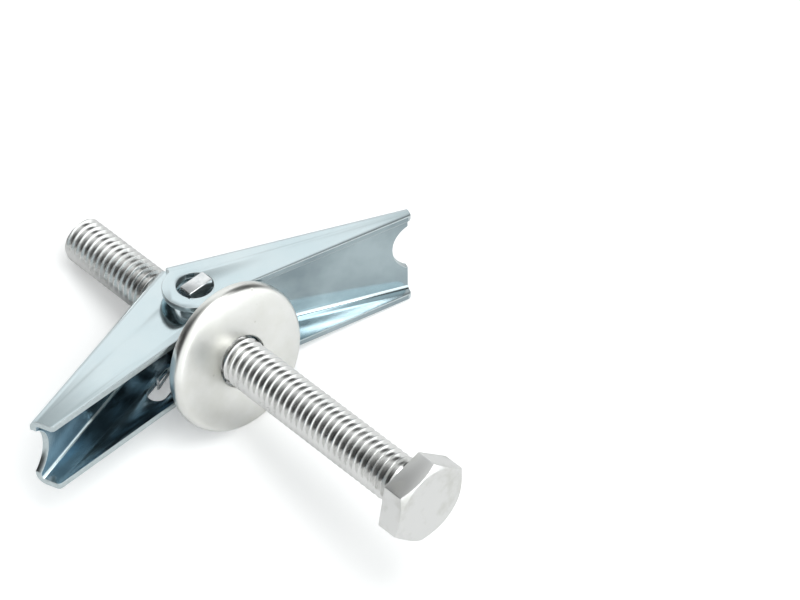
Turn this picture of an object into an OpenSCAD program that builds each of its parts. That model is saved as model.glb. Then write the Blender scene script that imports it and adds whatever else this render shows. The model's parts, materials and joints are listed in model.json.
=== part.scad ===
// Spring toggle bolt: two sheet-metal wings on a threaded trunnion nut,
// run on a hex-head bolt with a domed washer.
//
// The pieces are drawn in the bolt's own frame. Y runs along the bolt and +Y
// points to its threaded tip, Z is the hinge axis of the wings, and the origin
// is where those two cross. lay() then tips and lifts the whole toggle to the
// attitude in which it comes to rest on a table.

/* [Bolt] */
// Thread diameter
thread_d = 8; // [7.5:0.1:8.5]
// Length under the head
bolt_l = 80; // [70:1:120]
// Thread that stands out beyond the hinge axis
tip_l = 30; // [20:1:34]
// Length of the chamfer at the tip
tip_chamfer = 0.4; // [0.3:0.1:1.5]
// Head width across its flats
head_af = 13; // [11:0.1:17]
// Head height
head_h = 4.2; // [3:0.1:6]
// Turn of the head's corners about the bolt
head_turn = 19.4; // [0:0.1:60]
// Length of the plain neck under the head
neck_l = 1.6; // [1:0.1:3]
// How much the neck is thinner than the thread, on the radius
neck_drop = 0.35; // [0.1:0.05:0.5]

/* [Washer] */
// Washer outer diameter
washer_d = 25.4; // [20:0.1:34]
// Sheet thickness of the washer
washer_t = 1.1; // [0.8:0.1:1.5]
// Height of the washer, from its back rim to the middle of its face
washer_h = 2.7; // [2.2:0.1:4]
// How far the face falls from its middle to the rolled rim
dome_h = 0.4; // [0.1:0.05:0.8]
// Radius at which the flat middle of the face ends
dome_flat_r = 7; // [6:0.1:8.5]
// Outside radius of the rolled rim
roll_r = 1.4; // [1.3:0.1:1.8]
// Distance between the wings' ears and the middle of the washer's bore
washer_gap = 5.25; // [5:0.05:8]
// How far the loose washer leans back on the bolt, in degrees
washer_lean = 11.5; // [0:0.5:12]
// How far it leans to the outer wing's side, in degrees
washer_skew = -1.4; // [-3:0.1:3]

/* [Sheet wings] */
// Thickness of the wing sheet
sheet_t = 1.1; // [0.9:0.05:1.3]
// Inside radius of the bends
bend_r = 0.6; // [0.3:0.05:1]
// Width of the metal round the pivot holes in the ears
ear_rim = 2.35; // [1.8:0.05:2.6]
// How far the flanks run on behind the hinge axis
flank_back = 3.0; // [1:0.1:4]
// Radius of the flanks' outer corners
corner_r = 0.8; // [0.3:0.1:1.2]
// Radius of the inner corners where the web is cut away round the bolt
relief_r = 2.4; // [1:0.1:2.4]

/* [Outer wing] */
// Length from the hinge axis to the outer wing's end
outer_l = 38.2; // [30:0.1:40]
// Distance from the hinge axis to the outer wing's front edge
outer_front = 4.1; // [3:0.1:5]
// Angle between the outer wing's web and its front edge
outer_taper = 11.7; // [8:0.1:12]
// Angle of the outer wing's web to a line square to the bolt
outer_open = 23.1; // [20:0.1:26]

/* [Inner wing] */
// Length from the hinge axis to the inner wing's end
inner_l = 35.5; // [30:0.1:38]
// Distance from the hinge axis to the inner wing's web, outside
inner_web = 8.75; // [8:0.05:9.5]
// Angle between the inner wing's web and its front edge
inner_taper = 15.8; // [12:0.1:17]
// Angle of the inner wing's web to a line square to the bolt
inner_open = 19.5; // [16:0.1:23]
// Width of the slot in the inner wing's lower flank
slot_w = 3.3; // [2:0.1:4]
// Distance from the hinge axis to the slot's near round end
slot_near = 4.4; // [4:0.1:6]
// Distance from the hinge axis to the slot's far round end
slot_far = 12.9; // [10:0.1:16]
// Distance of the slot's centre line from the hinge axis, towards the web
slot_off = 1.3; // [0:0.1:3]

/* [Arc in the wing ends] */
// Width of the arc across the web
arc_w = 9.1; // [6:0.1:10]
// Depth of the arc
arc_depth = 2.7; // [1:0.1:4]
// How far the outer wing's arc lies off the middle of its web
arc_shift = 0.8; // [0:0.1:1.5]

/* [Trunnion nut] */
// Half length of the nut along the bolt
nut_half_l = 3.1; // [2.5:0.1:3.3]
// Metal between the nut's thread and its sides, across the bolt
nut_wall = 1.1; // [0.8:0.1:1.2]
// Metal between the nut's thread and its cheeks, along the hinge axis
nut_cover = 1.2; // [1:0.1:2]
// Radius of the nut's rounded corners
nut_corner = 1.2; // [0.5:0.1:2]
// Width of the pivot tabs across the bolt
tab_w = 4.3; // [3.5:0.1:4.4]
// Thickness of the pivot tabs along the bolt
tab_t = 2.5; // [2:0.1:2.6]
// How far the tabs stand out of the outer wing's ears
tab_proud = 0.8; // [0.3:0.1:1.5]
// How far the tabs sit off the middle of the ear holes, across the bolt
tab_off_x = 0.3; // [0:0.05:0.35]
// How far the tabs sit off the middle of the ear holes, towards the head
tab_off_y = 0.25; // [0:0.05:0.3]

/* [Spring] */
// Wire diameter
wire_d = 0.5; // [0.4:0.05:0.52]
// Distance along the outer wing at which the spring's leg bears
leg_outer = 11; // [8:0.1:16]
// Distance along the inner wing at which the spring's leg bears
leg_inner = 9; // [7:0.1:10.5]

/* [Clearances] */
// Radial clearance of the bolt's thread in the nut
thread_gap = 0.05; // [0.02:0.01:0.1]
// Radial clearance of the bolt's thread in the washer, square on
bore_gap = 0.3; // [0.3:0.05:1]
// Clearance of the tabs' corners in the ear holes, when centred
tab_gap = 0.51; // [0.5:0.01:0.7]
// Clearance between the inner wing's ears and the outer wing's web
ear_gap = 0.15; // [0.1:0.05:0.3]
// Clearance between a wing's web and the bolt at the open stop
stop_gap = 0.3; // [0.2:0.05:0.5]
// Clearance between parts that pass or touch each other
touch_gap = 0.1; // [0.05:0.01:0.15]

/* [Hidden] */
$fn = 96;

thread_r = thread_d / 2;
head_y = tip_l - bolt_l;               // plane under the head
washer_bore = thread_d + 2 * bore_gap;

// Along the hinge axis, from the thread outwards: nut, inner wing, spring, outer wing
nest_gap = 2 * wire_d + 2.5 * touch_gap;
nut_half_h = thread_r + nut_cover;
inner_half = nut_half_h + 5 * touch_gap + sheet_t;
outer_half = inner_half + nest_gap + sheet_t;
tab_top = outer_half + tab_proud;
nut_half_w = thread_r + nut_wall;

// Round the hinge axis: tabs, ears, and the outer wing's web over the inner wing's ears
ear_hole_r = norm([tab_w, tab_t]) / 2 + tab_gap;
ear_r = ear_hole_r + ear_rim;
outer_web = ear_r + ear_gap + sheet_t; // from the hinge axis to the web's outside
inner_front = ear_r;                   // from the hinge axis to the front edge
washer_ahead = ear_r + washer_gap;     // from the hinge axis to the middle of the washer's bore

// Start of each web, so that its inner edge clears the bolt at the open stop
outer_start = (thread_r + stop_gap - (outer_web - sheet_t) * sin(outer_open)) / cos(outer_open);
inner_start = (thread_r + stop_gap - (inner_web - sheet_t) * sin(inner_open)) / cos(inner_open);

far = 200;                             // longer than any piece
zinc = [0.78, 0.82, 0.85];
bright = [0.80, 0.80, 0.79];
warm = [0.86, 0.85, 0.81];

// ---- where the toggle comes to rest ----

// It lies on the washer's rim, the bolt's tip and the lowest corner of the outer
// wing. The table is the plane slope[0] * x + slope[1] * y + z = low, and each
// function below gives the low of one of them.

washer_r = washer_d / 2;
washer_axis = [-sin(washer_skew) * cos(washer_lean), cos(washer_skew) * cos(washer_lean), -sin(washer_lean)];
washer_back = [0, -washer_ahead, 0] + (washer_h - washer_t / 2) * washer_axis; // middle of its back rim
tip_y = tip_l - tip_chamfer;
fold_r = bend_r + sheet_t;             // outside radius of the bends

function up(slope) = [slope[0], slope[1], 1];
// Part of a vector that is square to an axis
function beside(v, axis) = v - (v * axis) * axis;
function rim_low(slope) = up(slope) * washer_back - washer_r * norm(beside(up(slope), washer_axis));
function tip_low(slope) = slope[1] * tip_y - thread_r * norm([1, slope[0]]);
function wing_low(slope) = let (
        su = slope[0] * cos(outer_open) - slope[1] * sin(outer_open),
        sv = slope[0] * sin(outer_open) + slope[1] * cos(outer_open))
    min(
        // the fold, and the rounded front corner, at the wing's end
        su * outer_l + sv * (outer_web - fold_r) - (outer_half - fold_r) - fold_r * norm([1, sv]),
        su * corner_x(outer_l) + sv * corner_y(outer_l, outer_front, outer_taper)
            - corner_r * norm([su, sv]) - outer_half);
// Middle of the round corner where a wing's front edge meets its end
function corner_x(l) = l - corner_r;
function corner_y(l, front, taper) = (corner_r - front + corner_x(l) * sin(taper)) / cos(taper);
function settle(slope, turns) = turns == 0 ? slope : settle(slope - [
        (wing_low(slope) - rim_low(slope)) / (outer_l * cos(outer_open)),
        (rim_low(slope) - tip_low(slope)) / (washer_back[1] - tip_y)], turns - 1);

rest_slope = settle([0, 0.2], 40);
pitch = atan(rest_slope[1]);
roll = -atan(rest_slope[0] / norm([1, rest_slope[1]]));
lift = -rim_low(rest_slope) / norm(up(rest_slope));

// Turns a point of the bolt's frame as lay() does
function tip_over(p) = let (
        y = p[1] * cos(pitch) - p[2] * sin(pitch),
        z = p[1] * sin(pitch) + p[2] * cos(pitch))
    [p[0] * cos(roll) + z * sin(roll), y, z * cos(roll) - p[0] * sin(roll)];

// Outermost points, which centre the toggle over the origin
function wing_end(side, open, l, v, z) =
    [side * (l * cos(open) + v * sin(open)), v * cos(open) - l * sin(open), z];
outer_ends = [for (z = [-outer_half, outer_half])
    tip_over(wing_end(1, outer_open, outer_l, outer_web - fold_r, z))[0]];
inner_ends = [for (z = [-inner_half, inner_half])
    tip_over(wing_end(-1, inner_open, inner_l, inner_web - fold_r, z))[0]];
head_end = min([for (k = [0 : 5])
    tip_over([head_af / 2 * cos(head_turn + 30 + 60 * k), head_y - head_h,
        head_af / 2 * sin(head_turn + 30 + 60 * k)])[1]]);
tip_end = tip_over([0, tip_l, thread_r - tip_chamfer])[1];
middle = [(max(outer_ends) + min(inner_ends)) / 2, (head_end + tip_end) / 2];

module lay() {
    translate([-middle[0], -middle[1], lift]) rotate([pitch, roll, 0]) children();
}

// ---- bolt ----

module hex_bolt() {
    point_r = head_af / sqrt(3);
    face_r = head_af / 2;
    crown = (point_r - face_r) * tan(30);
    color(bright) lay() rotate([90, 0, 0]) {
        // shank: +Z here runs to the head
        translate([0, 0, -tip_l])
            cylinder(h = tip_chamfer, r1 = thread_r - tip_chamfer, r2 = thread_r);
        translate([0, 0, tip_chamfer - tip_l])
            cylinder(h = bolt_l - tip_chamfer - neck_l, r = thread_r);
        translate([0, 0, -head_y - neck_l])
            cylinder(h = neck_l + head_h / 2, r = thread_r - neck_drop);
        // head, with its corners turned down on the outer face
        translate([0, 0, -head_y]) intersection() {
            rotate([0, 0, -head_turn]) cylinder(h = head_h, r = point_r, $fn = 6);
            union() {
                cylinder(h = head_h - crown, r = 2 * point_r);
                translate([0, 0, head_h - crown])
                    cylinder(h = crown, r1 = point_r, r2 = face_r);
            }
        }
    }
}

// ---- washer ----

// A shallow pressed cup: a flat middle, a face that falls by dome_h, and a rolled rim.
// The section is drawn with its back rim at y = 0.
dome_steps = 8;

// One surface of the sheet, the given depth under the face, from the flat middle to the back rim
function cup_side(depth) = let (
        r = roll_r - depth,
        run = washer_r - roll_r - dome_flat_r,
        dome_r = (run * run + dome_h * dome_h) / (2 * dome_h),
        dome_turn = asin(run / (dome_r - roll_r)),
        roll_y = washer_h - dome_r + (dome_r - roll_r) * cos(dome_turn),
        roll_x = dome_flat_r + (dome_r - roll_r) * sin(dome_turn))
    concat(
        [for (i = [0 : dome_steps]) let (a = dome_turn * i / dome_steps)
            [dome_flat_r + (dome_r - depth) * sin(a), washer_h - dome_r + (dome_r - depth) * cos(a)]],
        [for (i = [1 : dome_steps]) let (a = dome_turn + (90 - dome_turn) * i / dome_steps)
            [roll_x + r * sin(a), roll_y + r * cos(a)]],
        [[roll_x + r, 0]]);

module washer() {
    front = cup_side(0);
    back = cup_side(washer_t);
    color(warm) lay() translate([0, -washer_ahead, 0]) rotate([-washer_lean, 0, washer_skew])
        translate([0, washer_h - washer_t / 2, 0]) rotate([90, 0, 0])
            rotate_extrude() polygon(concat(
                [[washer_bore / 2, washer_h]], front,
                [for (i = [len(back) - 1 : -1 : 0]) back[i]], [[washer_bore / 2, washer_h - washer_t]]));
}

// ---- wings ----

// Outline of a wing seen along the hinge axis: x runs out along the wing, y towards the web.
// The front edge starts beside the ear and ends in a small round corner.
module wing_outline(l, web, front, taper) {
    round_x = corner_x(l);
    round_y = corner_y(l, front, taper);
    polygon(concat(
        [[-flank_back, 0], [-flank_back, web], [l, web]],
        [for (i = [0 : 6]) let (a = (taper - 90) * i / 6)
            [round_x + corner_r * cos(a), round_y + corner_r * sin(a)]],
        [[front * sin(taper), -front * cos(taper)], [0, 0]]));
}

// Section of a channel with its web at x = web: y runs along the hinge axis
module channel_side(half, web, r) {
    translate([-far, 0]) square([far + web - r, half]);
    square([web, half - r]);
    translate([web - r, half - r]) circle(r = r);
}

module channel_section(half, web) {
    difference() {
        for (m = [0, 1]) mirror([0, m]) channel_side(half, web, bend_r + sheet_t);
        for (m = [0, 1]) mirror([0, m])
            channel_side(half - sheet_t, web - sheet_t, bend_r);
    }
}

// Cut that keeps the web clear of the bolt, with rounded inner corners
module web_relief(start, half, r) {
    translate([0, far / 2, 0]) rotate([90, 0, 0]) {
        translate([-far + start - r, -half, 0]) cube([far, 2 * half, far / 2]);
        translate([-far + start, r - half, 0]) cube([far, 2 * (half - r), far / 2]);
        for (s = [-1, 1]) translate([start - r, s * (half - r), 0]) cylinder(h = far / 2, r = r);
    }
}

// Round bite out of the far end of the web
module end_arc(l, web, shift) {
    r = (arc_w * arc_w / 4 + arc_depth * arc_depth) / (2 * arc_depth);
    translate([l - arc_depth + r, web + 1, shift]) rotate([90, 0, 0])
        cylinder(h = sheet_t + 2, r = r);
}

module wing(half, l, web, front, taper, start, relief, shift) {
    difference() {
        intersection() {
            union() {
                translate([0, 0, -half - 1]) linear_extrude(2 * half + 2)
                    wing_outline(l, web, front, taper);
                translate([0, 0, -half - 1]) cylinder(h = 2 * half + 2, r = ear_r);
            }
            translate([-far / 2, 0, 0]) rotate([90, 0, 90]) linear_extrude(far)
                channel_section(half, web);
        }
        translate([0, 0, -far / 2]) cylinder(h = far, r = ear_hole_r);
        web_relief(start, relief, min(relief, relief_r));
        end_arc(l, web, shift);
    }
}

module outer_wing() {
    color(zinc) lay() rotate([0, 0, -outer_open])
        wing(outer_half, outer_l, outer_web, outer_front, outer_taper,
            outer_start, inner_half + stop_gap, arc_shift);
}

module inner_wing() {
    color(zinc) lay() mirror([1, 0, 0]) rotate([0, 0, -inner_open]) difference() {
        wing(inner_half, inner_l, inner_web, inner_front, inner_taper,
            inner_start, thread_r + 2 * stop_gap, 0);
        // slot through the lower flank only
        translate([0, slot_off, -far]) {
            for (u = [slot_near + slot_w / 2, slot_far - slot_w / 2])
                translate([u, 0, 0]) cylinder(h = far, r = slot_w / 2);
            translate([slot_near + slot_w / 2, -slot_w / 2, 0])
                cube([slot_far - slot_near - slot_w, slot_w, far]);
        }
    }
}

// ---- nut ----

module trunnion_nut() {
    color(bright) lay() difference() {
        union() {
            // body, rounded where it faces the wings' webs
            for (s = [-1, 1]) for (t = [-1, 1])
                translate([s * (nut_half_w - nut_corner), t * (nut_half_l - nut_corner), -nut_half_h])
                    cylinder(h = 2 * nut_half_h, r = nut_corner);
            translate([-nut_half_w, nut_corner - nut_half_l, -nut_half_h])
                cube([2 * nut_half_w, 2 * (nut_half_l - nut_corner), 2 * nut_half_h]);
            translate([nut_corner - nut_half_w, -nut_half_l, -nut_half_h])
                cube([2 * (nut_half_w - nut_corner), 2 * nut_half_l, 2 * nut_half_h]);
            // pivot tabs
            translate([tab_off_x - tab_w / 2, -tab_off_y - tab_t / 2, -tab_top])
                cube([tab_w, tab_t, 2 * tab_top]);
        }
        rotate([90, 0, 0]) translate([0, 0, -far / 2])
            cylinder(h = far, r = thread_r + thread_gap);
    }
}

// ---- spring ----

wire_r = wire_d / 2;
coil_r = ear_hole_r + wire_r + touch_gap / 2;
coil_z_inner = -inner_half - wire_r - touch_gap;
coil_z_outer = -outer_half + sheet_t + wire_r + touch_gap;

// Ends of the two legs, in the bolt's frame
leg_outer_v = outer_web - sheet_t - wire_r - 3 * touch_gap;
leg_outer_end = [leg_outer * cos(outer_open) + leg_outer_v * sin(outer_open),
    leg_outer_v * cos(outer_open) - leg_outer * sin(outer_open)];
leg_inner_v = slot_off + slot_w / 2 - wire_r - touch_gap;
leg_inner_end = [-leg_inner * cos(inner_open) - leg_inner_v * sin(inner_open),
    leg_inner_v * cos(inner_open) - leg_inner * sin(inner_open)];

// Direction, from the coil's centre, of the point where a leg leaves the coil
function leave(p, side) = atan2(p[1], p[0]) + side * acos(coil_r / norm(p));
leave_outer = leave(leg_outer_end, 1);
leave_inner = leave(leg_inner_end, -1);

coil_steps = 30;
coil_sweep = leave_inner - leave_outer + 360;
hook_l = sheet_t + 2 * wire_d;         // end of the leg that is bent into the slot

spring_path = concat(
    [[leg_inner_end[0], leg_inner_end[1], coil_z_inner + hook_l],
     [leg_inner_end[0], leg_inner_end[1], coil_z_inner]],
    [for (i = [0 : coil_steps]) let (f = i / coil_steps, a = leave_inner - coil_sweep * f)
        [coil_r * cos(a), coil_r * sin(a), coil_z_inner + (coil_z_outer - coil_z_inner) * f]],
    [[leg_outer_end[0], leg_outer_end[1], coil_z_outer]]);

wire_sides = 8;

function unit(v) = v / norm(v);
// Direction of the path at point i
function along(p, i) = unit(
    (i < len(p) - 1 ? unit(p[i + 1] - p[i]) : [0, 0, 0]) + (i > 0 ? unit(p[i] - p[i - 1]) : [0, 0, 0]));

// Round wire swept along a path that lies nearly flat, or stands upright, in z
module wire(p, r) {
    n = len(p);
    rings = [for (i = [0 : n - 1]) let (
            d = along(p, i),
            flat = i < n - 1 ? unit(p[i + 1] - p[i]) : d,
            side = i < 2 ? unit(cross([0, 0, 1], unit(p[2] - p[1]))) : unit(cross([0, 0, 1], d)),
            up = cross(d, side))
        for (k = [0 : wire_sides - 1]) let (a = 360 * k / wire_sides)
            p[i] + r * (cos(a) * side + sin(a) * up)];
    walls = [for (i = [0 : n - 2]) for (k = [0 : wire_sides - 1]) let (
            m = (k + 1) % wire_sides, b = i * wire_sides, t = b + wire_sides)
        [b + k, t + k, t + m, b + m]];
    first = [for (k = [0 : wire_sides - 1]) k];
    last = [for (k = [wire_sides - 1 : -1 : 0]) (n - 1) * wire_sides + k];
    polyhedron(rings, concat(walls, [first, last]));
}

module torsion_spring() {
    color(bright) lay() wire(spring_path, wire_r);
}

hex_bolt();
washer();
trunnion_nut();
torsion_spring();
outer_wing();
inner_wing();
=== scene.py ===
import json
import math

import bpy
from mathutils import Matrix, Vector


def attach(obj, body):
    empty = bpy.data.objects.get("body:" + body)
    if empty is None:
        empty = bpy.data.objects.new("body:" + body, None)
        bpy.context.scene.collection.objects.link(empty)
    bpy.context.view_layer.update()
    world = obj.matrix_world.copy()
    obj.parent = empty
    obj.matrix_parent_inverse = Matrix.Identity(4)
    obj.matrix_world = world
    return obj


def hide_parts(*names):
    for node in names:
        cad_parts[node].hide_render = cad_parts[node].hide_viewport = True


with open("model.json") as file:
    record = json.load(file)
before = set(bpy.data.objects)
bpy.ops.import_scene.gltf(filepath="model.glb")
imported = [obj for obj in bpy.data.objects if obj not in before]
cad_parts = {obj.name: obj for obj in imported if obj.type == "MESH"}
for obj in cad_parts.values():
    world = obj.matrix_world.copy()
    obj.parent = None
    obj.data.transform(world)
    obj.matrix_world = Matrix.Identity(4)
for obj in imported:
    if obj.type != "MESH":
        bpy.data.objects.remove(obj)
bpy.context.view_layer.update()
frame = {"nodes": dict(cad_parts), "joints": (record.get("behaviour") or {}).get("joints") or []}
mm = 0.001
print("frame loaded:", ", ".join(sorted(frame["nodes"])))

# The pieces are made in the bolt's own frame, in metres: Y runs along the bolt to its tip,
# Z is the hinge axis and the origin is where they cross. layDown turns that to the rest attitude.
jointOf = {joint["name"]: joint for joint in frame["joints"]}
hingePoint = Vector(jointOf["bolt_turn"]["pos_m"])
alongBolt = Vector(jointOf["bolt_turn"]["axis"]).normalized()
hingeAxis = -Vector(jointOf["outer_wing_fold"]["axis"])
hingeAxis = (hingeAxis - hingeAxis.project(alongBolt)).normalized()
acrossBolt = alongBolt.cross(hingeAxis)
layDown = Matrix((acrossBolt, alongBolt, hingeAxis)).transposed().to_4x4()
layDown.translation = hingePoint


# ---- small helpers ----

def deselectAll():
    if bpy.context.mode != "OBJECT":
        bpy.ops.object.mode_set(mode="OBJECT")
    bpy.ops.object.select_all(action="DESELECT")


def pick(obj):
    deselectAll()
    obj.select_set(True)
    bpy.context.view_layer.objects.active = obj


def named(name):
    obj = bpy.context.object
    obj.name = name
    obj.data.name = name
    return obj


def bakePlace(obj):
    # the place goes into the mesh, and the object stays at the origin
    obj.data.transform(obj.matrix_world)
    obj.matrix_world = Matrix.Identity(4)


def applyModifier(obj, kind, **settings):
    modifier = obj.modifiers.new(kind.title(), kind)
    for key, value in settings.items():
        setattr(modifier, key, value)
    pick(obj)
    bpy.ops.object.modifier_apply(modifier=modifier.name)


def cleanMesh(obj, merge=0.001 * mm, flat=None):
    pick(obj)
    bpy.ops.object.mode_set(mode="EDIT")
    bpy.ops.mesh.select_all(action="SELECT")
    bpy.ops.mesh.remove_doubles(threshold=merge)
    if flat is not None:
        bpy.ops.mesh.dissolve_limited(angle_limit=math.radians(flat))
    bpy.ops.mesh.normals_make_consistent(inside=False)
    bpy.ops.object.mode_set(mode="OBJECT")


def traceProfile(name, points):
    # one vertex, extruded from point to point
    deselectAll()
    bpy.ops.mesh.primitive_plane_add(size=mm)
    obj = named(name)
    bpy.ops.object.mode_set(mode="EDIT")
    bpy.ops.mesh.select_all(action="SELECT")
    bpy.ops.mesh.merge(type="CENTER")
    bpy.ops.transform.translate(value=points[0])
    for here, there in zip(points, points[1:]):
        step = Vector(there) - Vector(here)
        bpy.ops.mesh.extrude_region_move(TRANSFORM_OT_translate={"value": step})
    bpy.ops.object.mode_set(mode="OBJECT")
    return obj


def lathe(name, points, steps):
    # points are (radius, place along the bolt) in mm, turned all the way round
    obj = traceProfile(name, [(r * mm, y * mm, 0) for r, y in points])
    applyModifier(obj, "SCREW", axis="Y", steps=steps, render_steps=steps, use_merge_vertices=True,
                  merge_threshold=0.001 * mm, use_normal_calculate=True)
    cleanMesh(obj)
    return obj


def combine(obj, other, operation):
    applyModifier(obj, "BOOLEAN", operation=operation, object=other, solver="EXACT")
    bpy.data.objects.remove(other)
    return obj


def smooth(obj, angle):
    pick(obj)
    bpy.ops.object.shade_smooth_by_angle(angle=math.radians(angle))


def softenEdges(obj, width, angle, segments=2):
    applyModifier(obj, "BEVEL", width=width * mm, segments=segments, limit_method="ANGLE",
                  angle_limit=math.radians(angle), harden_normals=False, use_clamp_overlap=True,
                  miter_outer="MITER_ARC")


def arc(middle, radius, start, end, count):
    # points on an arc, in mm; angles in degrees
    return [(middle[0] + radius * math.cos(math.radians(start + (end - start) * i / count)),
             middle[1] + radius * math.sin(math.radians(start + (end - start) * i / count)))
            for i in range(count + 1)]


def finishPiece(obj, materials, body, slot, *nodes):
    obj.data.materials.clear()
    for material in materials:
        obj.data.materials.append(material)
    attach(obj, body)
    if nodes:
        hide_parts(*nodes)


# ---- shader maths ----

class Socket:
    def __init__(self, shader, output):
        self.shader = shader
        self.output = output

    def math(self, operation, first, second):
        return self.shader.add("ShaderNodeMath", {"operation": operation}, {0: first, 1: second})

    def __add__(self, other):
        return self.math("ADD", self, other)

    def __rsub__(self, other):
        return self.math("SUBTRACT", other, self)

    def __mul__(self, other):
        return self.math("MULTIPLY", self, other)


class Shader:
    def __init__(self, name, owner=None):
        self.material = owner or bpy.data.materials.new(name)
        self.material.use_nodes = True
        self.tree = self.material.node_tree
        self.surface = self.tree.nodes.get("Principled BSDF")

    def add(self, kind, settings=None, inputs=None, output=0):
        node = self.tree.nodes.new(kind)
        for key, value in (settings or {}).items():
            setattr(node, key, value)
        for key, value in (inputs or {}).items():
            self.join(value, node.inputs[key])
        return Socket(self, node.outputs[output]) if node.outputs else node

    def join(self, value, socket):
        if isinstance(value, Socket):
            self.tree.links.new(value.output, socket)
        else:
            socket.default_value = value

    def place(self):
        return self.add("ShaderNodeTexCoord", output="Object")

    def noise(self, scale, detail=3.0, roughness=0.5, stretch=(1, 1, 1), turn=(0, 0, 0)):
        # scale is in features a metre
        spot = self.add("ShaderNodeMapping", {}, {"Vector": self.place(), "Scale": stretch,
                                                  "Rotation": turn})
        return self.add("ShaderNodeTexNoise", {}, {"Vector": spot, "Scale": scale, "Detail": detail,
                                                   "Roughness": roughness})

    def spread(self, value, low, high, toLow=0.0, toHigh=1.0):
        return self.add("ShaderNodeMapRange", {"clamp": True}, {"Value": value, "From Min": low,
                        "From Max": high, "To Min": toLow, "To Max": toHigh})

    def blend(self, mask, first, second):
        return self.add("ShaderNodeMix", {"data_type": "RGBA"},
                        {"Factor": mask, 6: first, 7: second}, output=2)

    def bump(self, height, distance, strength=1.0, before=None):
        inputs = {"Height": height, "Distance": distance, "Strength": strength}
        if before is not None:
            inputs["Normal"] = before
        return self.add("ShaderNodeBump", {}, inputs)

    def finish(self, **values):
        for key, value in values.items():
            self.join(value, self.surface.inputs[key.replace("_", " ")])
        return self.material


def colour(red, green, blue):
    return (red, green, blue, 1.0)


def grey(tone):
    return colour(tone, tone, tone)


# ---- finishes ----

# Zinc over a rolled thread: bright, nearly neutral, a little duller in its low spots
boltFinish = {"bright": (0.80, 0.80, 0.79), "dull": (0.62, 0.62, 0.61), "rough": 0.17, "cloud": 260,
              "grain": 5200, "grainDepth": 0.004 * mm}


def makeBoltZinc():
    f = boltFinish
    s = Shader("boltZinc")
    cloud = s.noise(f["cloud"], 4.0, 0.6)
    grain = s.noise(f["grain"], 2.0, 0.5)
    patch = s.spread(cloud, 0.42, 0.68)
    tint = s.blend(patch * 0.5, colour(*f["bright"]), colour(*f["dull"]))
    rough = patch * 0.10 + grain * 0.05 + f["rough"]
    return s.finish(Base_Color=tint, Metallic=1.0, Roughness=rough,
                    Normal=s.bump(grain, f["grainDepth"], 0.5))


# The head's turned face: satin, with faint stains from handling
headFinish = {"bright": (0.80, 0.80, 0.79), "stain": (0.62, 0.62, 0.58), "rough": 0.33,
              "cloud": 330, "grain": 3800, "grainDepth": 0.006 * mm}


def makeHeadZinc():
    f = headFinish
    s = Shader("headZinc")
    cloud = s.noise(f["cloud"], 5.0, 0.55)
    grain = s.noise(f["grain"], 3.0, 0.6)
    patch = s.spread(cloud, 0.5, 0.72)
    tint = s.blend(patch * 0.6, colour(*f["bright"]), colour(*f["stain"]))
    return s.finish(Base_Color=tint, Metallic=1.0, Roughness=patch * 0.12 + f["rough"],
                    Normal=s.bump(grain, f["grainDepth"], 0.6))


# Tumbled washer: warm satin zinc with small pits and rubs; scales are features a metre
washerFinish = {"bright": (0.86, 0.86, 0.835), "warm": (0.77, 0.77, 0.725), "rough": 0.27,
                "cloud": 130, "pit": (0.5, 0.49, 0.45), "pits": 420, "pitDepth": 0.05 * mm,
                "wave": 90, "waveDepth": 0.05 * mm, "rubs": 300, "grain": 3000,
                "grainDepth": 0.004 * mm}


def makeWasherZinc():
    f = washerFinish
    s = Shader("washerZinc")
    cloud = s.noise(f["cloud"], 4.0, 0.6)
    grain = s.noise(f["grain"], 3.0, 0.6)
    wave = s.noise(f["wave"], 1.0, 0.4)
    rubs = s.noise(f["rubs"], 3.0, 0.5, stretch=(0.25, 1.0, 2.2), turn=(0.2, 0.5, 0.9))
    cells = s.add("ShaderNodeTexVoronoi", {}, {"Vector": s.place(), "Scale": f["pits"]})
    pit = s.spread(cells, 0.04, 0.13, 1.0, 0.0) * s.spread(cloud, 0.48, 0.54)
    tint = s.blend(s.spread(cloud, 0.4, 0.7), colour(*f["bright"]), colour(*f["warm"]))
    tint = s.blend(pit * 0.6, tint, colour(*f["pit"]))
    rough = s.spread(rubs, 0.45, 0.7) * 0.08 + grain * 0.05 + f["rough"]
    bump = s.bump(wave, f["waveDepth"], 0.25)
    bump = s.bump(1 - pit, f["pitDepth"], 1.0, before=bump)
    bump = s.bump(grain, f["grainDepth"], 0.5, before=bump)
    return s.finish(Base_Color=tint, Metallic=1.0, Roughness=rough, Normal=bump)


# Blue-white passivated sheet, almost a mirror, with the slow waves of rolled strip. The inside and
# deep tones are painted shade: darker colours for the faces within the wings' channels, standing in
# for the shade and dark reflections there
wingFinish = {"blue": (0.60, 0.70, 0.735), "pale": (0.66, 0.74, 0.765),
              "inside": (0.29, 0.36, 0.39), "insidePaintedShadePale": (0.46, 0.55, 0.58),
              "deepPaintedShade": (0.20, 0.29, 0.35), "deepPaintedShadePale": (0.36, 0.47, 0.53), "rough": 0.13,
              "cloud": 75, "wave": 95, "waveDepth": 0.04 * mm, "rubs": 420, "grain": 2600,
              "grainDepth": 0.003 * mm}


def makeWingZinc(name, blue, pale):
    f = wingFinish
    s = Shader(name)
    cloud = s.noise(f["cloud"], 4.0, 0.6)
    wave = s.noise(f["wave"], 1.0, 0.4)
    grain = s.noise(f["grain"], 2.0, 0.5, stretch=(1, 0.3, 1))
    rubs = s.noise(f["rubs"], 3.0, 0.6, stretch=(0.3, 1.6, 1.0), turn=(0, 0, 0.6))
    tint = s.blend(s.spread(cloud, 0.35, 0.68), colour(*blue), colour(*pale))
    rough = s.spread(rubs, 0.5, 0.8) * 0.10 + grain * 0.03 + f["rough"]
    bump = s.bump(wave, f["waveDepth"], 0.08)
    bump = s.bump(grain, f["grainDepth"], 0.4, before=bump)
    return s.finish(Base_Color=tint, Metallic=1.0, Roughness=rough, Normal=bump)


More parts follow.
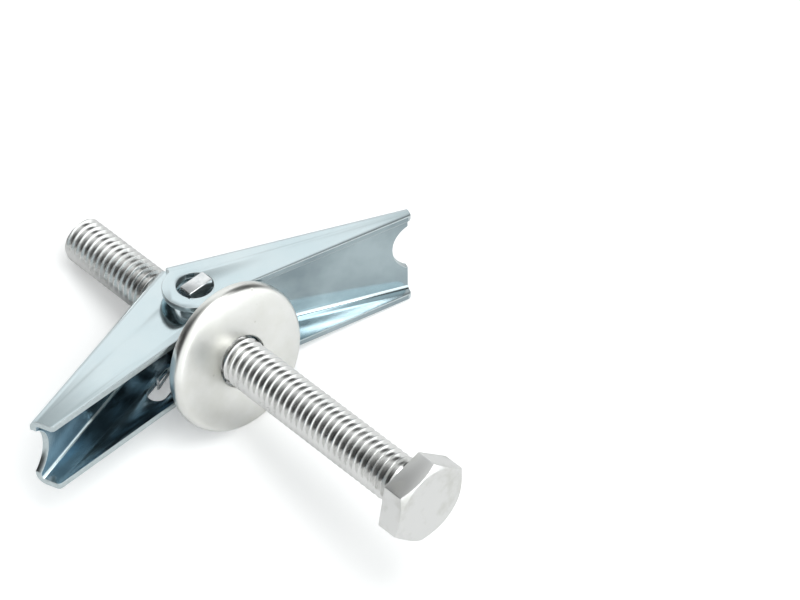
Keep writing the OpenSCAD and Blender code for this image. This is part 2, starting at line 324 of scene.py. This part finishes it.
# Sheared edges of the sheet, plated but torn along part of their height
edgeFinish = {"pale": (0.60, 0.67, 0.69), "dark": (0.42, 0.48, 0.49), "rough": 0.28, "tear": 1500,
              "tearDepth": 0.008 * mm}


def makeCutEdge():
    f = edgeFinish
    s = Shader("cutEdge")
    tear = s.noise(f["tear"], 4.0, 0.65)
    patch = s.spread(tear, 0.42, 0.68)
    tint = s.blend(patch * 0.5, colour(*f["pale"]), colour(*f["dark"]))
    return s.finish(Base_Color=tint, Metallic=1.0, Roughness=patch * 0.1 + f["rough"],
                    Normal=s.bump(tear, f["tearDepth"], 0.5))


nutFinish = {"bright": (0.80, 0.81, 0.82), "dull": (0.64, 0.67, 0.68), "rough": 0.18, "cloud": 500,
             "grain": 3500, "grainDepth": 0.006 * mm}


def makeNutZinc():
    f = nutFinish
    s = Shader("nutZinc")
    cloud = s.noise(f["cloud"], 4.0, 0.6)
    grain = s.noise(f["grain"], 2.0, 0.5)
    tint = s.blend(s.spread(cloud, 0.4, 0.7), colour(*f["bright"]), colour(*f["dull"]))
    rough = s.spread(cloud, 0.4, 0.7) * 0.1 + f["rough"]
    return s.finish(Base_Color=tint, Metallic=1.0, Roughness=rough,
                    Normal=s.bump(grain, f["grainDepth"], 0.5))


wireFinish = {"bright": (0.70, 0.71, 0.72), "dull": (0.52, 0.53, 0.54), "rough": 0.2, "cloud": 900,
              "drawDepth": 0.004 * mm}


def makeSpringWire():
    f = wireFinish
    s = Shader("springWire")
    cloud = s.noise(f["cloud"], 3.0, 0.6)
    tint = s.blend(s.spread(cloud, 0.4, 0.7), colour(*f["bright"]), colour(*f["dull"]))
    return s.finish(Base_Color=tint, Metallic=1.0, Roughness=cloud * 0.15 + f["rough"],
                    Normal=s.bump(cloud, f["drawDepth"], 0.5))


boltZinc = makeBoltZinc()
headZinc = makeHeadZinc()
washerZinc = makeWasherZinc()
wingZinc = makeWingZinc("wingZinc", wingFinish["blue"], wingFinish["pale"])
# the next two finishes are painted shade: darker tones for the faces within the wings' channels
wingInsidePaintedShade = makeWingZinc("wingInsidePaintedShade", wingFinish["inside"], wingFinish["insidePaintedShadePale"])
# painted shade, darker still, for the inner wing's deeper channel
wingDeepPaintedShade = makeWingZinc("wingDeepPaintedShade", wingFinish["deepPaintedShade"], wingFinish["deepPaintedShadePale"])
cutEdge = makeCutEdge()
nutZinc = makeNutZinc()
springWire = makeSpringWire()
print("finishes made")


# ---- bolt ----

# lengths in mm, places along the bolt from the hinge
bolt = {"radius": 4.0, "pitch": 1.25, "rootRadius": 3.28, "tip": 30.0, "chamfer": 0.4,
        "threadEnd": -48.4, "runOut": 1.0, "neckRadius": 3.65, "neckFillet": 0.25, "spare": 0.05,
        "headPlane": -50.0, "headHeight": 4.2, "acrossFlats": 13.0, "headTurn": 19.4,
        "faceRadius": 6.35, "crownAngle": 30, "edge": 0.14, "smooth": 30,
        "stepsRound": 40, "blankSteps": 96, "neckSteps": 48}


def makeThread():
    # one pitch of the thread's section, rounded at the crest as rolling leaves it
    b = bolt
    p, top, low = b["pitch"], b["radius"], b["rootRadius"]
    section = [(low, 0.0), (low, 0.10 * p), (top - 0.10, 0.40 * p), (top - 0.02, 0.45 * p),
               (top, 0.50 * p), (top - 0.02, 0.55 * p), (top - 0.10, 0.60 * p), (low, 0.90 * p),
               (low, p)]
    start = b["threadEnd"] - 2 * p
    turns = math.ceil((b["tip"] - start) / p) + 1
    thread = traceProfile("hexBolt", [(r * mm, (start + y - p) * mm, 0) for r, y in section])
    applyModifier(thread, "SCREW", axis="Y", steps=b["stepsRound"], render_steps=b["stepsRound"],
                  screw_offset=p * mm, iterations=turns, use_merge_vertices=True,
                  merge_threshold=0.001 * mm, use_normal_calculate=True)
    cleanMesh(thread)
    bpy.ops.object.mode_set(mode="EDIT")
    bpy.ops.mesh.select_all(action="SELECT")
    bpy.ops.mesh.fill_holes(sides=0)
    bpy.ops.object.mode_set(mode="OBJECT")
    cleanMesh(thread)
    # the blank cuts both ends off: the crests run down at the tip's chamfer and at the neck
    low, out = b["neckRadius"] - 0.08, b["radius"] + b["spare"]
    end, tip, chamfer = b["threadEnd"], b["tip"], b["chamfer"]
    blank = lathe("threadBlank", [(0, end - 0.6), (low, end - 0.6), (low, end),
                                  (out, end + b["runOut"]), (out, tip - chamfer - b["spare"]),
                                  (b["radius"] - chamfer, tip), (0, tip)], b["blankSteps"])
    return combine(thread, blank, "INTERSECT")


def makeHead():
    b = bolt
    pointRadius = b["acrossFlats"] / math.sqrt(3)
    slope = math.tan(math.radians(b["crownAngle"]))
    plane, outer = b["headPlane"], b["headPlane"] - b["headHeight"]
    deselectAll()
    bpy.ops.mesh.primitive_cylinder_add(vertices=6, radius=pointRadius * mm,
                                        depth=b["headHeight"] * mm,
                                        location=(0, (plane + outer) / 2 * mm, 0),
                                        rotation=(math.radians(90), 0, 0))
    head = named("boltHead")
    bakePlace(head)
    # a corner to the turn that the head stands at
    start = math.degrees(math.atan2(head.data.vertices[0].co.z, head.data.vertices[0].co.x))
    head.data.transform(Matrix.Rotation(math.radians(start - b["headTurn"]), 4, "Y"))
    wide = 2 * pointRadius
    crownShape = lathe("headCrown", [(0, plane + 1), (wide, plane + 1),
                                     (wide, outer + (wide - b["faceRadius"]) * slope),
                                     (b["faceRadius"], outer), (0, outer)], b["blankSteps"])
    combine(head, crownShape, "INTERSECT")
    softenEdges(head, b["edge"], 18, 3)
    neckRadius, fillet, top = b["neckRadius"], b["neckFillet"], b["threadEnd"] + 0.2
    neck = lathe("boltNeck", [(0, top), (neckRadius - 0.05, top), (neckRadius, top - 0.1),
                              (neckRadius, plane + fillet), (neckRadius + fillet, plane),
                              (neckRadius + fillet, outer + 2), (0, outer + 2)], b["neckSteps"])
    return combine(head, neck, "UNION")


hexBolt = makeThread()
combine(hexBolt, makeHead(), "UNION")
cleanMesh(hexBolt)
finishPiece(hexBolt, [boltZinc, headZinc], "bolt", "bolt_zinc", "hex_bolt")
headEnd = (bolt["headPlane"] + 0.02) * mm
for face in hexBolt.data.polygons:
    face.material_index = 1 if face.center.y < headEnd else 0
hexBolt.data.transform(layDown)
smooth(hexBolt, bolt["smooth"])
print("bolt made:", len(hexBolt.data.polygons), "faces")


# ---- washer ----

# lengths in mm, angles in degrees; its middle is this far ahead of the hinge
washer = {"outer": 12.7, "bore": 4.3, "thick": 1.1, "height": 2.7, "dome": 0.4, "flat": 7.0,
          "roll": 1.4, "ahead": 10.6, "lean": 11.5, "skew": -1.4, "boreRound": 0.3,
          "edgeRound": 0.25, "smooth": 40, "stepsRound": 128}


def cupSide(depth):
    # half of the cup's section, this deep under its outer skin: over the dome, then round the roll
    w = washer
    run = w["outer"] - w["roll"] - w["flat"]
    domeRadius = (run ** 2 + w["dome"] ** 2) / (2 * w["dome"])
    turn = math.degrees(math.asin(run / (domeRadius - w["roll"])))
    low = w["height"] - domeRadius
    rollMiddle = (w["outer"] - w["roll"],
                  low + (domeRadius - w["roll"]) * math.cos(math.radians(turn)))
    dome = arc((w["flat"], low), domeRadius - depth, 90, 90 - turn, 6)
    return dome + arc(rollMiddle, w["roll"] - depth, 90 - turn, 0, 8)[1:]


def makeWasher():
    w = washer
    b, e, floor = w["boreRound"], w["edgeRound"], w["height"] - w["thick"]
    front = cupSide(0)
    edge = (arc((w["outer"] - e, e), e, 0, -90, 4)
            + arc((w["outer"] - w["thick"] + e, e), e, -90, -180, 4))
    bore = (arc((w["bore"] + b, floor + b), b, 270, 180, 4)
            + arc((w["bore"] + b, w["height"] - b), b, 180, 90, 4))
    # radius, height over the back rim
    section = front + edge + cupSide(w["thick"])[::-1] + bore + [front[0]]
    middle = w["height"] - w["thick"] / 2
    cup = lathe("pressedWasher", [(r, middle - h) for r, h in section], w["stepsRound"])
    cup.data.transform(Matrix.Translation((0, -w["ahead"] * mm, 0))
                       @ Matrix.Rotation(math.radians(w["skew"]), 4, "Z")
                       @ Matrix.Rotation(math.radians(-w["lean"]), 4, "X"))
    return cup


pressedWasher = makeWasher()
finishPiece(pressedWasher, [washerZinc], "washer", "washer_zinc", "washer")
pressedWasher.data.transform(layDown)
smooth(pressedWasher, washer["smooth"])
print("washer made")


# ---- wings and nut ----

def copyNode(node, name):
    pick(frame["nodes"][node])
    bpy.ops.object.duplicate()
    copy = named(name)
    copy.parent = None
    for key in list(copy.keys()):
        if key.startswith("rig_"):
            del copy[key]
    copy.matrix_world = Matrix.Identity(4)
    if copy.data.has_custom_normals:
        bpy.ops.mesh.customdata_custom_splitnormals_clear()
    copy.data.transform(layDown.inverted())
    cleanMesh(copy, merge=0.002 * mm, flat=0.6)
    return copy


# u and v below: "web" is the web's distance from the hinge, "open" the angle a wing stands back at
wings = {"sheet": 1.1, "fold": 1.7, "edge": 0.13, "smooth": 35, "square": 0.97, "slack": 0.05,
         "outer": {"half": 9.15, "web": 6.6, "open": 23.1, "side": 1},
         "inner": {"half": 6.8, "web": 8.75, "open": 19.5, "side": -1}}


def makeWing(node, name, body, form, inside):
    wing = copyNode(node, name)
    softenEdges(wing, wings["edge"], 40)
    # u runs out along the wing, v towards its web
    opening = math.radians(form["open"])
    along = Vector((form["side"] * math.cos(opening), -math.sin(opening), 0))
    toWeb = Vector((form["side"] * math.sin(opening), math.cos(opening), 0))
    # inside is the painted shade finish for the channel's inner faces
    finishPiece(wing, [wingZinc, cutEdge, inside], body, "wing_zinc", node)
    square, slack = wings["square"], wings["slack"]
    sheetFrom, foldFrom = form["web"] - wings["sheet"] - slack, form["web"] - wings["fold"] - slack
    for face in wing.data.polygons:
        u, v, w = abs(face.normal.dot(along)), face.normal.dot(toWeb), face.normal.z
        place, height = face.center.dot(toWeb) / mm, face.center.z / mm
        sheetFace = abs(w) > square or (abs(v) > square and place > sheetFrom)
        folded = (u < 0.08 and place > foldFrom
                  and abs(height) > form["half"] - wings["fold"] - slack)
        # painted shade: faces within the channel that face into it take the darker inside finish;
        # on the deep inner wing the lower flank's inner face does too
        paintedShadeFace = v < -square or (form["side"] < 0 and w > square and height < 0)
        within = place < form["web"] - slack and abs(height) < form["half"] - 0.5
        face.material_index = 2 if within and paintedShadeFace else 0 if sheetFace or folded else 1
    wing.data.transform(layDown)
    smooth(wing, wings["smooth"])


makeWing("outer_wing", "outerWing", "outer_wing", wings["outer"], wingInsidePaintedShade)
makeWing("inner_wing", "innerWing", "inner_wing", wings["inner"], wingDeepPaintedShade)
print("wings made")

# the tab ends are peened over a little on the inner wing's side
nut = {"edge": 0.25, "smooth": 35, "peenFrom": 8.6, "peenFull": 9.5, "sideFrom": -0.5,
       "sideFull": -1.8, "spread": 0.45, "sink": 0.4}


def ramp(value, start, full):
    return min(1.0, max(0.0, (value - start) / (full - start)))


def peenTabs(obj):
    for vertex in obj.data.vertices:
        x, y, z = vertex.co / mm
        amount = (ramp(abs(z), nut["peenFrom"], nut["peenFull"])
                  * ramp(x, nut["sideFrom"], nut["sideFull"]))
        vertex.co.x -= nut["spread"] * amount * mm
        vertex.co.z -= math.copysign(nut["sink"] * amount ** 2, z) * mm


nutPiece = copyNode("trunnion_nut", "trunnionNut")
softenEdges(nutPiece, nut["edge"], 40, 3)
peenTabs(nutPiece)
finishPiece(nutPiece, [nutZinc], "nut", "nut_zinc", "trunnion_nut")
nutPiece.data.transform(layDown)
smooth(nutPiece, nut["smooth"])
print("nut made")

# angles in degrees round the hinge, where a leg leaves the coil; the ends are places in mm
spring = {"wire": 0.25, "sides": 3, "smooth": 50, "coil": 3.297, "steps": 60, "hold": 8,
          "outer": {"leaves": 75.25, "height": -7.7, "end": (12.059, 0.235)},
          "inner": {"leaves": 114.0, "height": -7.15, "end": (-9.352, -0.553), "hook": 2.1}}


def makeWire(name, points):
    wire = traceProfile(name, [Vector(point) * mm for point in points])
    bpy.ops.object.convert(target="CURVE")
    wire.data.bevel_depth = spring["wire"] * mm
    wire.data.bevel_resolution = spring["sides"]
    wire.data.use_fill_caps = True
    bpy.ops.object.convert(target="MESH")
    cleanMesh(wire)
    return wire


def coilPoint(angle, height):
    turn = math.radians(angle)
    return (spring["coil"] * math.cos(turn), spring["coil"] * math.sin(turn), height)


def makeSpring():
    outer, inner, steps = spring["outer"], spring["inner"], spring["steps"]
    sweep = inner["leaves"] - outer["leaves"] + 360
    drop = outer["height"] - inner["height"]
    coil = makeWire("springCoil", [coilPoint(inner["leaves"] - sweep * i / steps,
                                             inner["height"] + drop * i / steps)
                                   for i in range(steps + 1)])
    # each leg holds on to the coil a little way round, so none shows a gap as it swings
    hold = range(0, spring["hold"], 2)
    outerLeg = makeWire("springOuterLeg", [(*outer["end"], outer["height"])]
                        + [coilPoint(outer["leaves"] + a, outer["height"]) for a in hold])
    innerLeg = makeWire("springInnerLeg", [(*inner["end"], inner["height"] + inner["hook"]),
                                           (*inner["end"], inner["height"])]
                        + [coilPoint(inner["leaves"] - a, inner["height"]) for a in hold])
    for piece, body in ((coil, "nut"), (outerLeg, "outer_wing"), (innerLeg, "inner_wing")):
        finishPiece(piece, [springWire], body, "spring_wire", "torsion_spring")
        piece.data.transform(layDown)
        smooth(piece, spring["smooth"])


makeSpring()
print("spring made")


# ---- floor, light and camera ----

studio = {"floorSize": 6.0, "floorPale": 0.80, "floorSeen": 0.92, "floorLift": 0.24,
          "skyTone": 1.12, "skyTint": (0.975, 1.0, 1.0), "backdrop": (0.97, 0.97, 0.97),
          # direction, inner and outer angle in degrees, how much it takes from or adds to the sky
          "flags": [((-0.719, 0.608, 0.335), 22, 60, -0.99), ((-0.01, 0.68, 0.74), 6, 26, -0.5),
                    ((0.79, 0.043, 0.612), 16, 36, -0.985), ((0.95, 0.25, 0.05), 10, 34, -0.6)],
          "glows": [((0.044, -0.573, 0.819), 6, 20, 0.9), ((0.4, -0.9, 0.1), 15, 55, 0.5)]}


def makeFloor():
    deselectAll()
    bpy.ops.mesh.primitive_plane_add(size=studio["floorSize"], location=(0, 0, 0))
    floor = named("studioFloor")
    s = Shader("studioFloor")
    # a touch paler to the eye than in the metal's reflections
    seen = s.add("ShaderNodeLightPath", output="Is Camera Ray")
    tone = s.blend(seen, grey(studio["floorPale"]), grey(studio["floorSeen"]))
    s.finish(Base_Color=tone, Roughness=0.9, Emission_Color=grey(1),
             Emission_Strength=seen * studio["floorLift"])
    floor.data.materials.append(s.material)


def makeSky():
    # a white tent with dark flags and glows that the metal can mirror
    world = bpy.data.worlds.new("softTent")
    bpy.context.scene.world = world
    s = Shader("softTent", world)
    s.tree.nodes.clear()
    ray = s.add("ShaderNodeTexCoord", output="Generated")

    def lobe(direction, inner, outer):
        along = s.add("ShaderNodeVectorMath", {"operation": "DOT_PRODUCT"},
                      {0: ray, 1: Vector(direction).normalized()}, output="Value")
        return s.add("ShaderNodeMapRange", {"interpolation_type": "SMOOTHSTEP"},
                     {"Value": along, "From Min": math.cos(math.radians(outer)),
                      "From Max": math.cos(math.radians(inner))})

    tone = studio["skyTone"]
    for direction, inner, outer, amount in studio["flags"]:
        tone = (lobe(direction, inner, outer) * amount + 1) * tone
    for direction, inner, outer, amount in studio["glows"]:
        tone = tone + lobe(direction, inner, outer) * amount
    mirrored = s.add("ShaderNodeBackground", {}, {"Color": colour(*studio["skyTint"]),
                                                  "Strength": tone})
    seen = s.add("ShaderNodeBackground", {}, {"Color": colour(*studio["backdrop"])})
    rays = s.add("ShaderNodeLightPath", output="Is Camera Ray")
    mix = s.add("ShaderNodeMixShader", {}, {0: rays, 1: mirrored, 2: seen})
    s.add("ShaderNodeOutputWorld", {}, {"Surface": mix})


def makeSoftLight(name, location, aim, size, power):
    deselectAll()
    bpy.ops.object.light_add(type="AREA", location=location)
    light = bpy.context.object
    light.name = name
    light.data.shape = "DISK"
    light.data.size = size
    light.data.energy = power
    light.rotation_euler = (Vector(aim) - Vector(location)).to_track_quat("-Z", "Y").to_euler()


makeFloor()
makeSky()
makeSoftLight("topLight", (0.15, -0.10, 0.80), (0, 0, 0.01), 0.5, 2.0)

view = {"location": (-0.16583, -0.17653, 0.38061), "turn": (34.735, -4.210, -42.401),
        "lens": 124.5, "sensor": 36.0}
deselectAll()
bpy.ops.object.camera_add(location=view["location"],
                          rotation=[math.radians(angle) for angle in view["turn"]])
camera = bpy.context.object
camera.name = "mainCamera"
camera.data.lens = view["lens"]
camera.data.sensor_width = view["sensor"]
camera.data.clip_start = 0.01
camera.data.clip_end = 20.0
bpy.context.scene.camera = camera
bpy.context.scene.view_settings.view_transform = "Standard"
print("studio made")
